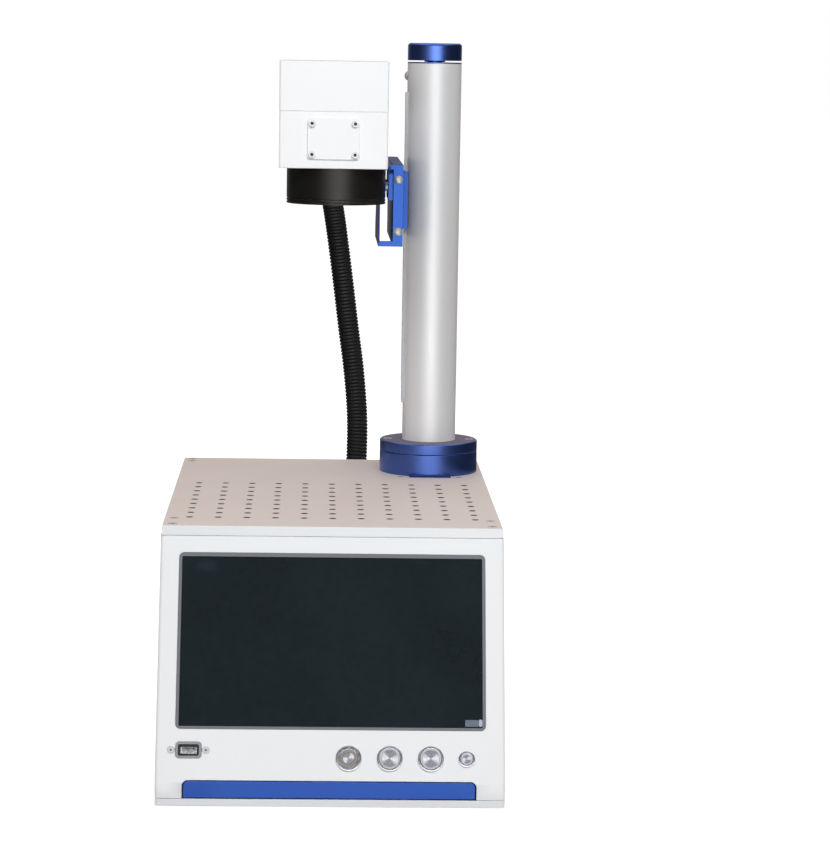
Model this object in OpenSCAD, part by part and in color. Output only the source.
// Bench-top laser marking machine: a cabinet with a drilled work plate, a height column and a marking head.
// Millimetres. +X is right, +Y is back, +Z is up. The origin lies on the table under the machine's middle.

/* [Cabinet] */
// Width of the sloping front beside the screen window
panel_margin = 16.2; // [14.7:0.1:30]
// Slope from its foot to the screen window
screen_foot = 45.1; // [42:0.1:55]
// Slope from the screen window to the work plate
screen_head = 14.9163; // [12:0.0001:30]
// Depth of the sloping front, from the foot of the apron to the work plate
front_run = 80; // [70:1:95]
// Depth of the work plate
plate_d = 414; // [408:1:450]
// Thickness of the work plate
plate_t = 8.5; // [7:0.5:12]
// Setback of the work plate from each side sheet
plate_inset = 1; // [0:0.5:3]
// How far the work plate reaches over the top of the sloping front
plate_lip = 1.2; // [0.5:0.1:3]
// Thickness of the sheet metal
sheet_t = 1.5; // [1:0.1:2]
// Outer radius of the sheet's bends
corner_r = 3; // [2.5:0.1:5]
// Height of the bend between the apron and the slope
bend_h = 22; // [20:0.5:26]
// Top edge of the base pan over the table
pan_top_h = 8; // [7:0.1:8]
// Width of the folded flange under the work plate
flange_w = 20; // [17:1:24]
// Thickness of the rubber feet
foot_t = 1.5; // [1:0.1:2.5]
// Diameter of the rubber feet
foot_d = 20; // [12:1:30]
// Foot centre's distance from the side and from the end
foot_inset = 25; // [20:1:40]

/* [Work plate holes] */
// Least distance from the outer holes to the plate's sides
grid_side = 18; // [12:1:20]
// Holes along the plate
grid_rows = 9; // [5:2:9]
// Hole spacing
grid_pitch = 25; // [20:1:25]
// Bore of each hole, the tapping size of its thread
grid_hole_d = 5; // [4:0.1:6]
// Diameter of each hole's chamfered mouth
grid_mouth_d = 6.4; // [6.1:0.1:8]
// First row's distance from the plate's front edge
grid_front = 46; // [46:1:52]

/* [Screen and USB socket] */
// Width of the screen window over its grey band
screen_w = 262.6; // [240:0.1:266]
// Height of the screen window over its grey band
screen_h = 152.6; // [140:0.1:156]
// Corner radius of the window
screen_r = 4.5; // [3:0.1:8]
// Width of the grey band at the sides
band_side = 2.7; // [2:0.1:6]
// Width of the grey band at the top
band_top = 3.5; // [2:0.1:6]
// Width of the grey band at the bottom
band_bottom = 2.5; // [2:0.1:6]
// USB socket's centre from the cabinet's left side
usb_side = 27.8; // [25:0.1:34]
// USB socket's centre up the slope
usb_s = 27.2; // [24:0.1:30]
// Width of the USB frame
usb_w = 22; // [20:0.1:23]
// Height of the USB frame
usb_h = 14.2; // [12:0.1:16]
// Distance between the USB socket's screws
usb_screw_pitch = 29.4; // [29:0.1:32]

/* [Buttons] */
// Head diameter of the three large buttons
button_d = 22; // [20:0.5:24]
// Head diameter of the small button
small_button_d = 14; // [12:0.5:16]
// Small button's centre from the cabinet's right side
small_button_side = 32.6; // [25:0.1:40]
// Spacing of the large buttons
button_pitch = 34.7; // [30:0.1:36]
// Spacing from the last large button to the small one
small_button_gap = 30.3; // [26:0.1:32]
// Height of the buttons' centres up the slope
button_s = 21; // [18:0.1:24]
// How far the button heads stand out of the panel
button_proud = 2.5; // [2:0.1:4]
// Travel of a button cap
button_travel = 2.5; // [1.5:0.1:3]

/* [Drawer] */
// Apron beside the drawer's opening
drawer_end = 23.5; // [20:0.1:30]
// Height of the opening over the base pan
drawer_open_h = 15.6; // [15:0.1:18]
// Radius of the opening's upper corners
drawer_open_r = 5; // [3:0.5:6]
// Offset of the opening from the cabinet's middle
drawer_off = -0.8; // [-3:0.1:3]
// Gap at each end of the drawer front
drawer_side_gap = 1.3; // [0.5:0.1:2]
// Gap over and under the drawer front
drawer_gap = 0.8; // [0.5:0.1:1]
// Room beside the tray for its rails, in the opening
tray_side = 13; // [12:0.1:20]
// Length of the tray
tray_l = 200; // [150:1:230]

/* [Column] */
// Column axis from the cabinet's right side
col_side = 52.9; // [52:0.1:60]
// Column axis from the plate's back edge
col_back = 68; // [66:1:72]
// Diameter of the tube
tube_d = 52; // [50:0.5:54]
// Wall of the tube
tube_wall = 4; // [3:0.5:5]
// Diameter of the two flange rings
ring_d = 95; // [92:0.5:100]
// Height of the lower ring
low_ring_h = 21.3; // [18:0.1:26]
// Height of the upper ring
up_ring_h = 9.9; // [8:0.1:14]
// Bottom of the slot over the work plate
slot_low = 67.2; // [60:0.1:80]
// Length of the slot
slot_len = 300.5; // [290:0.5:340]
// From the slot's top to the tube's top
slot_head = 27.7; // [27:0.1:60]
// Width of the slot in the tube
slot_w = 14; // [13:0.5:16]
// Thickness of the slot liner's walls
liner_wall = 2; // [1.5:0.1:2]
// How far the liner stands out of the tube
liner_proud = 1.7; // [1:0.1:2]
// Thickness of the cap plate
cap_t = 1.2; // [1:0.1:3]
// Gap between the cap plate and the knob
knob_gap = 1.6; // [1:0.1:3]
// Diameter of the knob
knob_d = 52; // [44:0.5:60]
// Height of the knob
knob_h = 16.6; // [14:0.1:22]
// Diameter of the lead screw
screw_d = 14; // [12:0.5:16]

/* [Lift arm] */
// Middle of the lift over the work plate, at rest
lift_rise = 264.5; // [240:0.5:270]
// Thickness of the arm beam
web_t = 9.2; // [8:0.1:12]
// Height of the arm beam
web_h = 73.6; // [73:0.1:90]
// Lower edge of the arm beam under the lift's middle
web_drop = 33.5; // [32:0.1:40]
// Wall of the saddle between the beam and the tube
saddle_web = 7.7; // [6.5:0.1:10]
// Depth of the saddle with its two horns
saddle_t = 9.4; // [8.5:0.1:11]
// Width of the saddle
saddle_w = 40; // [36:0.5:44]
// Height of the saddle
saddle_h = 54.6; // [52:0.1:60]
// Arm's front face from the column axis
arm_reach = 186; // [183:0.5:188]
// Arm beam's end behind the column axis
arm_tail = 30; // [24:0.5:40]
// Thickness of the front end plate
end_t = 5; // [4:0.1:6]
// Thickness of the head bracket's legs
angle_t = 4.4; // [3:0.1:5]
// Thickness of the lens guard
guard_t = 1.5; // [1:0.1:2]

/* [Marking head] */
// Width of the head
head_w = 96; // [94:0.5:100]
// Length of the head
head_l = 150; // [146:0.5:150]
// Height of the head
head_h = 94; // [92:0.5:110]
// Height of the seam between the two housing halves
seam_rise = 50; // [48:0.5:52]
// Head's front face from the column axis
head_reach = 251; // [249:0.5:251]
// Gap between the head and the arm beam
head_side_gap = 6.7; // [6:0.1:8]
// Head's underside over the lift's middle
head_rise = 38.5; // [38.5:0.5:40]
// Wall of the head housing
head_wall = 2.5; // [2:0.1:3]
// Diameter of the lens barrel
lens_d = 88.8; // [80:0.1:89]
// Length of the lens barrel
lens_h = 32.5; // [28:0.1:38]
// Lens axis from the head's right side
lens_side = 45; // [45:0.1:48]
// Lens axis behind the head's front
lens_back = 51; // [48:0.1:51]
// Width of the front blanking plate
blank_w = 46; // [44:0.5:56]
// Height of the front blanking plate
blank_h = 36; // [34:0.5:40]

/* [Hose] */
// Outer diameter of the ribbed hose
hose_d = 21.2; // [18:0.1:22]
// Bore of the ribbed hose
hose_bore = 16; // [13:0.1:16]
// Spacing of the ribs
rib_pitch = 3.5; // [3.5:0.1:5]
// Elbow's axis behind the cabinet
elbow_out = 42; // [40:0.5:48]
// Outer diameter of the elbow
elbow_d = 32; // [28:0.5:36]

/* [Hidden] */
$fn = 48;

// Overrun of every cut, running clearance, and the open seam between covers
cut = 1;
hair = 0.05;
seam = 0.3;

// Cabinet frame
rear_reach = elbow_out + elbow_d / 2;
body_w = screen_w + 2 * panel_margin;
cab_d = front_run + plate_d;
y_front = -(cab_d + rear_reach) / 2;
y_lip = y_front + front_run;
y_back = y_front + cab_d;
slope_run = front_run + plate_lip;
slope_l = screen_foot + screen_h + screen_head;
lean = asin(slope_run / slope_l);
plate_under_h = bend_h + slope_l * cos(lean);
plate_top_h = plate_under_h + plate_t;
grid_cols = 1 + 2 * floor((body_w / 2 - plate_inset - grid_side) / grid_pitch);
floor_h = foot_t + sheet_t;
slope_corner_r = corner_r - 0.2;
inner_x = body_w / 2 - sheet_t;
lip_h = 12;
pan_lip_inset = sheet_t + seam + sheet_t;
pan_lip_end = 40;
rear_flange_w = 12;

// Screws: head diameter, shank diameter and, where they differ, head height
plate_screw_head_d = 8;
plate_screw_d = 4;
plate_screw_from_side = 9.5;
plate_screw_front = [10.5, 40];
plate_screw_back = [9, 22.5];
stem_past = 2;
base_screw_dx = 28.1;
base_screw_dy = 47;
base_screw_head_d = 6;
base_screw_d = 3;
ring_screw_r = 40;
ring_screw_head_d = 9;
ring_screw_d = 5;
ring_screw_l = 37;
pan_screw_head_d = 5.6;
pan_screw_head_t = 2;
pan_screw_d = 3;
pan_screw_l = 6;
usb_screw_head_d = 6.8;
usb_screw_d = 3;
usb_screw_l = 8;
socket_share = 0.5;

// Rear panel
rear_screw_edge = 6;
rear_screw_end = 20;
fan_w = 80;
fan_t = 25;
fan_side = 77.5;
fan_x = fan_side - body_w / 2;
fan_h = 125;
fan_screw_pitch = 71.5;
grille_d = 74;
grille_bar = 3;
grille_slot = 5;
mains_side = 47.5;
mains_x = body_w / 2 - mains_side;
mains_h = 70;
mains_w = 28;
mains_tall = 58;
mains_flange = 2;
mains_depth = 28;
mains_lip = 3;
socket_w = 24;
socket_tall = 17;
socket_deep = 17;
socket_drop = 15;
socket_r = 2;
blade_w = 2;
blade_h = 4;
blade_l = 14;
blade_dx = 7;
blade_dz = 2.5;
rocker_w = 13;
rocker_l = 20;
rocker_rise = 15;
rocker_deep = 8;
rocker_pin_d = 3;
rocker_tip = 3;
rocker_angle = 10;
rocker_gap = 0.3;

// Screen and USB details
screen_s = screen_foot + screen_h / 2;
glass_w = screen_w - 2 * band_side;
glass_h = screen_h - band_top - band_bottom;
glass_s = screen_s + (band_bottom - band_top) / 2;
glass_r = 1;
glass_set = 0.5;
bezel_back = 1.2;
bezel_flange = 5;
display_t = 6;
display_board_t = 4;
display_board_share = [0.5, 0.4];
usb_x = -(body_w / 2 - usb_side);
usb_r = 3;
usb_body_t = 14;
usb_cavity_w = 17.6;
usb_cavity_h = 9.7;
usb_cavity_t = 2;
usb_shell_w = 14.3;
usb_shell_h = 5.7;
usb_shell_t = 0.4;
usb_shell_l = 16;
usb_tongue_h = 1.8;
usb_tongue_gap = 1;
usb_ear_t = 2;
usb_ear_d = 9;

// Button details
small_button_x = body_w / 2 - small_button_side;
button_x = [
  small_button_x - small_button_gap - 2 * button_pitch,
  small_button_x - small_button_gap - button_pitch,
  small_button_x - small_button_gap,
  small_button_x,
];
button_head_d = [button_d, button_d, button_d, small_button_d];
button_body_d = [19, 19, 19, 12];
button_cap_d = [9.6, 14.2, 14.2, 7];
button_recess_d = [14.7, 17.4, 17.4, 9.6];
button_recess_t = 0.8;
button_cap_proud = 0.8;
button_cap_l = 9;
button_body_l = 24;
button_nut_t = 3.5;
button_nut_rim = 2;
button_chamfer = 0.6;

// Drawer details
drawer_open_w = body_w - 2 * drawer_end;
tray_w = drawer_open_w - 2 * tray_side;
drawer_front_t = 3;
drawer_front_h = drawer_open_h - 2 * drawer_gap;
drawer_low = pan_top_h + drawer_gap;
tray_wall = 1.2;
tray_low = drawer_low + 0.5 * drawer_gap;
tray_h = drawer_front_h - 2 * drawer_gap;
rail_t = 3;
rail_h = 8;
rail_l = 190;
rail_web = 1.5;
rail_set = 12;
rail_foot_w = 10;
rail_low = tray_low + (tray_h - rail_h) / 2;

// Chassis and electronics
shelf_h = 28;
shelf_inset = 10;
shelf_front = 50;
standoff_d = 8;
standoff_side = 14;
standoff_end = 30;
laser_w = 95;
laser_l = 210;
laser_t = 62;
laser_side = 12;
laser_x = laser_side + laser_w / 2 - body_w / 2;
laser_front = 20;
fin_t = 2;
fin_gap = 5;
fin_h = 12;
port_d = 12;
port_l = 14;
supply_w = 98;
supply_l = 199;
supply_t = 42;
free_x = (laser_x + laser_w / 2 + inner_x) / 2;
supply_front = 160;
terminal_l = 14;
terminal_h = 22;
vent_w = 3;
vent_l = 30;
vent_pitch = 10;
pc_w = 112;
pc_l = 120;
pc_t = 35;
pc_r = 6;
pc_front = 20;
card_w = 100;
card_l = 100;
card_t = 1.6;
card_side = 12.5;
card_x = card_side + card_w / 2 - body_w / 2;
card_front = 250;
card_post_h = 8;
card_post_d = 6;
card_post_inset = 5;
chip_share = [[0.25, 0.3, 0.2], [0.6, 0.35, 0.14], [0.45, 0.7, 0.16]];
chip_h = 2.5;
plug_w = 40;
plug_h = 10;
plug_l = 12;
fan_bore_d = 76;
fan_hub_d = 36;
fan_hub_t = 5;
fan_strut = 4;
fan_shaft_d = 4;
fan_shaft_l = 4;
fan_blades = 7;
fan_tip_gap = 1;
fan_blade_t = 1.5;
fan_blade_tilt = 40;
fan_blade_w = 20;
fan_rotor_t = 18;

// Column frame
col_x = body_w / 2 - col_side;
col_y = y_back - col_back;
tube_r = tube_d / 2;
tube_bore_r = tube_r - tube_wall;
tube_len = slot_low + slot_len + slot_head;
tube_top = plate_top_h + tube_len;
ring_bore_r = tube_r + hair;
ring_chamfer = 1;
key_w = 39.8;
key_h = 2.5;
key_out = 4;
base_plate_w = 2 * (col_side - sheet_t - flange_w - seam);
base_plate_l = 110;
base_plate_t = 5;
base_bolt_d = 12;
base_bolt_l = 12;
foot_plug_l = 25;
bearing_d = 30;
bearing_t = 9;
bearing_groove = 1;
cap_plug_l = 24;
side_screw_h = 12;
side_screw_head_d = 9;
side_screw_head_t = 3;
side_screw_d = 5;
side_screw_l = 8;
neck_d = 20;
knob_r = 3;
knob_bore_l = 11;
screw_r = screw_d / 2;
screw_low = plate_top_h + foot_plug_l - bearing_t;
knob_low = tube_top + cap_t + knob_gap;
slot_z = plate_top_h + slot_low;

// Lift frame
lift_z = plate_top_h + lift_rise;
nut_h = 40;
nut_gap = 0.5;
tongue_gap = 0.3;
groove_gap = 0.5;
web_x1 = col_x - tube_r - saddle_web;
web_x0 = web_x1 - web_t;
web_z0 = lift_z - web_drop;
web_z1 = web_z0 + web_h;
arm_y0 = col_y - arm_reach;
beam_y0 = arm_y0 + end_t;
beam_y1 = col_y + arm_tail;
groove_r = tube_r + liner_proud + groove_gap;
saddle_gap = 0.3;
arm_screw_d = 5;
arm_screw_head_d = 8.5;
arm_screw_head_t = 5;
arm_screw_bite = 5;
saddle_screw_y_share = 0.32;
saddle_screw_z_share = 0.36;
tongue_screw_z = 12;
tongue_screw_bite = 8;
saddle_floor = saddle_web + tube_r - groove_r;
dome_d = 8.3;
dome_t = 3;
dome_l = 16;
dome_edge = 13.3;
hook_w = 2.7;
hook_h = 3.9;
toe_w = 12.7;
toe_h = 4.7;

// Head frame
head_x1 = web_x0 - head_side_gap;
head_x0 = head_x1 - head_w;
head_x = (head_x0 + head_x1) / 2;
head_y0 = col_y - head_reach;
head_y1 = head_y0 + head_l;
head_z0 = lift_z + head_rise;
head_z1 = head_z0 + head_h;
head_seam_z = head_z0 + seam_rise;
head_r = 2;
head_floor = 4;
lens_x = head_x1 - lens_side;
lens_y = head_y0 + lens_back;
lens_r = lens_d / 2;
lens_low = head_z0 - lens_h;
lens_wall = 5;
lens_glass_t = 4;
lens_lip = 2;
lens_groove_z = [1.6, 4.2];
lens_groove_w = 0.8;
lens_groove_t = 0.7;
lens_port_d = 60;
blank_t = 2;
blank_r = 3;
blank_low = 8;
blank_window = 6;
blank_screw_dx = 38;
blank_screw_dz = 27.1;
blank_screw_d = 3;
blank_screw_head_d = 5.8;
blank_screw_head_t = 3;
blank_screw_l = 5;
leg_drop = 30.5;
leg_y0 = beam_y0;
leg_l = 75;
leg_y1 = leg_y0 + leg_l;
leg_r = 8;
foot_leg_gap = 3.6;
foot_leg_inset = 16;
foot_leg_x0 = head_x0 + foot_leg_inset;
foot_leg_y0 = lens_y + lens_r + foot_leg_gap;
leg_screw_dy = 50;
leg_screw_rise = 12;
foot_screw_inset = 10;
foot_screw_head_t = 3;
guard_past_toe = 0.4;
guard_x = web_x0 - toe_w - guard_past_toe;
guard_rear = 137;
guard_tail_h = 12.5;
guard_step_y = 7;
guard_step_z = 37.5;

// Beam path in the head
beam_rise = 30;
beam_z = head_z0 + beam_rise;
mirror_dx = 18;
mirror_t = 1.2;
mirror_x_size = 14;
mirror_y_w = 16;
mirror_y_l = 20;
clamp_d = 6;
clamp_l = 4;
clamp_grip = 1.5;
rotor_shaft_d = 3;
rotor_shaft_l = 18;
motor_x_d = 18;
motor_y_d = 16;
motor_x_l = 36;
motor_y_l = 35;
motor_x_gap = 3;
motor_y_gap = 2;
mount_t = 8;
mount_w = 54;
mount_side = 18;
mount_x0 = lens_x - mirror_dx - mount_side;
mount_y0 = lens_y + mirror_y_l / 2 + clamp_l + motor_y_gap;
mount_h = 68;
mount_arm_l = 28;
beam_hole_d = 12;
isolator_d = 22;
isolator_l = 40;
isolator_foot_w = 16;

// Hose, gland and elbow
gland_rise = 70;
gland_x = head_x;
gland_z = head_z0 + gland_rise;
gland_nut_d = 30;
gland_nut_t = 8;
gland_d = 26;
gland_out = 21;
gland_in = 6;
gland_ring_t = 3;
elbow_x = 24;
elbow_y = y_back + elbow_out;
elbow_bend_r = 22;
elbow_mouth_z = 150;
elbow_axis_z = 108;
elbow_nut_d = 42;
elbow_nut_t = 5;
elbow_thread_d = 24;
elbow_thread_l = 12;

// Centreline of the hose: out of the gland, over in an arc and down to the elbow
hose_start = [-3, 70, 600];
hose_end = [24, 260, 150];
hose_turns = [
  [-3, 92, 600],
  [-6, 142, 592],
  [-8, 200, 561],
  [-6, 240, 512],
  [2, 258, 460],
  [9, 260, 410],
  [16, 260, 356],
  [22, 260, 312],
  [26, 260, 265],
  [26, 260, 220],
  [24, 260, 172],
];
hose_sides = 8;
rib_depth = 1.2;
bore_step = 8;

// Shared shapes

// Rectangle with round corners, centred
module rounded(w, h, r) {
  square([w - 2 * r, h], center = true);
  square([w, h - 2 * r], center = true);
  for (x = [-1, 1], y = [-1, 1])
    translate([x * (w / 2 - r), y * (h / 2 - r)])
      circle(r);
}

// Box between two corners
module block(low, high) {
  translate(low)
    cube(high - low);
}

// Places its children on the sloping front: x across, s up the slope, out along its normal
module on_panel(x, s, out = 0) {
  translate([0, y_front, bend_h])
    rotate([90 - lean, 0, 0])
      translate([x, s, out])
        children();
}

// Turns a shape that rises along +Z to point along +Y, or along -Y
module to_back() {
  rotate([-90, 0, 0])
    children();
}

module to_front() {
  rotate([90, 0, 0])
    children();
}

// Turns a shape that rises along +Z to point along +X
module to_right() {
  rotate([0, 90, 0])
    children();
}

// Countersunk screw with a hex socket; its head's face is at z = 0 and it points down
module sunk_screw(head_d, d, l) {
  head_t = (head_d - d) / 2;
  difference() {
    union() {
      translate([0, 0, -head_t])
        cylinder(h = head_t, d1 = d, d2 = head_d);
      translate([0, 0, -l])
        cylinder(h = l - head_t * socket_share, d = d);
    }
    translate([0, 0, -head_t * socket_share])
      cylinder(h = head_t, d = d * socket_share, $fn = 6);
  }
}

// The hole that a countersunk screw sits in
module sunk_hole(head_d, d, l) {
  head_t = (head_d - d) / 2;
  translate([0, 0, -head_t])
    cylinder(h = head_t, d1 = d + 2 * hair, d2 = head_d + 2 * hair);
  cylinder(h = cut, d = head_d + 2 * hair);
  translate([0, 0, -l])
    cylinder(h = l, d = d + 2 * hair);
}

// Cap screw with a hex socket; its head stands on z = 0 and it points down
module cap_screw(head_d, head_t, d, l) {
  difference() {
    union() {
      cylinder(h = head_t, d = head_d);
      translate([0, 0, -l])
        cylinder(h = l + head_t / 4, d = d);
    }
    translate([0, 0, head_t * socket_share])
      cylinder(h = head_t, d = head_d * socket_share, $fn = 6);
  }
}

// Dome-headed screw with a hex socket; its head stands on z = 0 and it points down
module dome_screw(head_d, head_t, d, l) {
  ball_r = (head_d * head_d / 4 + head_t * head_t) / (2 * head_t);
  difference() {
    union() {
      intersection() {
        translate([0, 0, head_t - ball_r])
          sphere(ball_r);
        cylinder(h = head_t, d = head_d);
      }
      translate([0, 0, -l])
        cylinder(h = l + head_t / 4, d = d);
    }
    translate([0, 0, head_t * socket_share])
      cylinder(h = head_t, d = d * socket_share, $fn = 6);
  }
}

// Plan of the cabinet from y = 0 back, with its two front corners rounded to an outer radius
module plan_outline(inset, length, outer_r) {
  r = outer_r - inset;
  w = body_w - 2 * inset;
  translate([-w / 2, inset + r])
    square([w, length - inset - r]);
  translate([r - w / 2, inset])
    square([w - 2 * r, r]);
  for (x = [-1, 1])
    translate([x * (w / 2 - r), inset + r])
      circle(r);
}

// Everything behind the apron and the slope, drawn in by an inset
module cabinet_solid(inset, low, high, length) {
  intersection() {
    translate([0, y_front, low])
      linear_extrude(high - low)
        plan_outline(inset, length, corner_r);
    on_panel(0, -bend_h - cut)
      to_back()
        linear_extrude(cab_d + plate_top_h)
          plan_outline(inset, cab_d + plate_top_h, slope_corner_r);
  }
}

// Places its children at each screw of the work plate's four corners
module at_plate_screws() {
  screw_x = body_w / 2 - plate_screw_from_side;
  for (x = [-screw_x, screw_x]) {
    for (y = plate_screw_front)
      translate([x, y_lip + y, plate_top_h])
        children();
    for (y = plate_screw_back)
      translate([x, y_back - y, plate_top_h])
        children();
  }
}

// Places its children at the four screws that hold the column's doubling plate
module at_base_screws() {
  for (x = [-1, 1], y = [-1, 1])
    translate([col_x + x * base_screw_dx, col_y + y * base_screw_dy, plate_top_h])
      children();
}

// Places its children at the two screws of the flange rings
module at_ring_screws() {
  for (x = [-1, 1])
    translate([col_x + x * ring_screw_r, col_y, plate_top_h + low_ring_h + up_ring_h])
      children();
}

// Places its children at the rear panel's screws
module at_rear_screws() {
  low = pan_top_h + rear_screw_end;
  high = plate_under_h - rear_screw_end;
  for (x = [-1, 1], z = [low, (low + high) / 2, high])
    translate([x * (inner_x - rear_screw_edge), y_back, z])
      children();
}

// Places its children at the fan's four screws
module at_fan_screws() {
  for (x = [-1, 1], z = [-1, 1])
    translate([fan_x + x * fan_screw_pitch / 2, y_back, fan_h + z * fan_screw_pitch / 2])
      children();
}

// Places its children at the USB socket's two screws, on the face of the slope
module at_usb_screws() {
  for (x = [-1, 1])
    on_panel(usb_x + x * usb_screw_pitch / 2, usb_s)
      children();
}

// Cabinet

module base_pan() {
  pan_h = pan_top_h - seam;
  lip_x = body_w / 2 - pan_lip_inset;
  color("gainsboro") {
    difference() {
      translate([0, y_front, foot_t])
        linear_extrude(pan_h - foot_t)
          plan_outline(0, cab_d, corner_r);
      block([-inner_x, y_front + sheet_t, floor_h], [inner_x, y_back - sheet_t, pan_h + cut]);
    }
    for (x = [-lip_x - sheet_t, lip_x])
      block([x, y_front + pan_lip_end, floor_h], [x + sheet_t, y_back - pan_lip_end, floor_h + lip_h]);
  }
}

module rubber_feet() {
  color("dimgray")
    for (x = [-1, 1], y = [y_front + foot_inset, y_back - foot_inset])
      translate([x * (body_w / 2 - foot_inset), y, 0])
        cylinder(h = foot_t, d = foot_d);
}

module drawer_opening() {
  open_low = pan_top_h - drawer_open_h;
  translate([drawer_off, y_front + rail_set, (open_low + pan_top_h + drawer_open_h) / 2])
    to_front()
      linear_extrude(rail_set + cut)
        rounded(drawer_open_w, 2 * drawer_open_h, drawer_open_r);
}

module body_shell() {
  root = sheet_t / 2;
  color("whitesmoke")
    difference() {
      union() {
        difference() {
          cabinet_solid(0, pan_top_h, plate_under_h, cab_d);
          cabinet_solid(sheet_t, pan_top_h - cut, plate_under_h + cut, cab_d + cut);
        }
        difference() {
          block([-inner_x - root, y_lip + plate_lip + root, plate_under_h - sheet_t],
            [inner_x + root, y_back - sheet_t, plate_under_h]);
          block([flange_w - inner_x, y_lip + flange_w, plate_under_h - sheet_t - cut],
            [inner_x - flange_w, y_back, plate_under_h + cut]);
        }
        for (side = [0, 1])
          mirror([side, 0, 0])
            block([inner_x - rear_flange_w, y_back - 2 * sheet_t, pan_top_h],
              [inner_x + root, y_back - sheet_t, plate_under_h]);
      }
      on_panel(0, screen_s, -sheet_t - cut)
        linear_extrude(sheet_t + 2 * cut)
          rounded(screen_w, screen_h, screen_r);
      for (i = [0:len(button_x) - 1])
        on_panel(button_x[i], button_s, -sheet_t - cut)
          cylinder(h = sheet_t + 2 * cut, d = button_body_d[i] + 2 * hair);
      on_panel(usb_x, usb_s, -sheet_t - cut)
        linear_extrude(sheet_t + 2 * cut)
          rounded(usb_w + 2 * hair, usb_h + 2 * hair, usb_r + hair);
      at_usb_screws()
        sunk_hole(usb_screw_head_d, usb_screw_d, usb_screw_l);
      drawer_opening();
      at_plate_screws()
        sunk_hole(plate_screw_head_d, plate_screw_d, plate_t + sheet_t + cut);
      at_rear_screws()
        to_front()
          cylinder(h = pan_screw_l, d = pan_screw_d + 2 * hair);
    }
}

module work_plate() {
  half_w = body_w / 2 - plate_inset;
  mouth_t = (grid_mouth_d - grid_hole_d) / 2;
  color("lightgray")
    difference() {
      block([-half_w, y_lip, plate_under_h], [half_w, y_back, plate_top_h]);
      for (i = [0:grid_cols - 1], j = [0:grid_rows - 1])
        translate([(i - (grid_cols - 1) / 2) * grid_pitch,
          y_lip + grid_front + j * grid_pitch, plate_under_h]) {
          translate([0, 0, -cut])
            cylinder(h = plate_t + 2 * cut, d = grid_hole_d);
          translate([0, 0, plate_t - mouth_t])
            cylinder(h = mouth_t, d1 = grid_hole_d, d2 = grid_mouth_d);
        }
      at_plate_screws()
        sunk_hole(plate_screw_head_d, plate_screw_d, plate_t + cut);
      at_base_screws()
        sunk_hole(base_screw_head_d, base_screw_d, plate_t + cut);
      at_ring_screws()
        translate([0, 0, -ring_screw_l])
          cylinder(h = ring_screw_l, d = ring_screw_d + 2 * hair);
      translate([col_x, col_y, plate_under_h - cut])
        cylinder(h = plate_t + 2 * cut, d = base_bolt_d + 2 * hair);
    }
}

module cabinet_screws() {
  color("silver") {
    at_plate_screws()
      sunk_screw(plate_screw_head_d, plate_screw_d, plate_t + sheet_t + stem_past);
    at_base_screws()
      sunk_screw(base_screw_head_d, base_screw_d, plate_t + base_plate_t);
    at_ring_screws()
      sunk_screw(ring_screw_head_d, ring_screw_d, ring_screw_l);
    at_rear_screws()
      to_back()
        cap_screw(pan_screw_head_d, pan_screw_head_t, pan_screw_d, pan_screw_l);
    at_fan_screws()
      to_back()
        cap_screw(pan_screw_head_d, pan_screw_head_t, pan_screw_d, pan_screw_l);
    at_usb_screws()
      sunk_screw(usb_screw_head_d, usb_screw_d, usb_screw_l);
    translate([col_x - tube_r, col_y, tube_top - side_screw_h])
      rotate([0, -90, 0])
        dome_screw(side_screw_head_d, side_screw_head_t, side_screw_d, side_screw_l);
  }
}

// Slots of the fan grille, trimmed by a circle
module grille_slots() {
  step = grille_bar + grille_slot;
  rows = floor(grille_d / step / 2);
  intersection() {
    circle(d = grille_d);
    for (k = [-rows:rows])
      translate([0, k * step])
        square([grille_d, grille_slot], center = true);
  }
}

module rear_panel() {
  half_w = inner_x - seam;
  color("whitesmoke")
    difference() {
      block([-half_w, y_back - sheet_t, pan_top_h], [half_w, y_back, plate_under_h - seam]);
      translate([fan_x, y_back - sheet_t - cut, fan_h])
        to_back()
          linear_extrude(sheet_t + 2 * cut)
            grille_slots();
      translate([mains_x, y_back - sheet_t - cut, mains_h])
        to_back()
          linear_extrude(sheet_t + 2 * cut)
            square([mains_w + 2 * hair, mains_tall + 2 * hair], center = true);
      translate([elbow_x, y_back - sheet_t - cut, elbow_axis_z])
        to_back()
          cylinder(h = sheet_t + 2 * cut, d = elbow_thread_d + 2 * hair);
      at_rear_screws()
        to_front()
          cylinder(h = pan_screw_l, d = pan_screw_d + 2 * hair);
      at_fan_screws()
        to_front()
          cylinder(h = pan_screw_l, d = pan_screw_d + 2 * hair);
    }
}

// Screen

module screen_bezel() {
  color("slategray")
    difference() {
      union() {
        on_panel(0, screen_s, -sheet_t - bezel_back)
          linear_extrude(sheet_t + bezel_back)
            rounded(screen_w - 2 * hair, screen_h - 2 * hair, screen_r - hair);
        on_panel(0, screen_s, -sheet_t - bezel_back)
          linear_extrude(bezel_back)
            rounded(screen_w + 2 * bezel_flange, screen_h + 2 * bezel_flange, screen_r);
      }
      on_panel(0, glass_s, -sheet_t - bezel_back - cut)
        linear_extrude(sheet_t + bezel_back + 2 * cut)
          rounded(glass_w, glass_h, glass_r);
    }
}

module screen_glass() {
  color("black")
    on_panel(0, glass_s, -sheet_t - bezel_back)
      linear_extrude(sheet_t + bezel_back - glass_set)
        rounded(glass_w - 2 * hair, glass_h - 2 * hair, glass_r);
}

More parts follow.
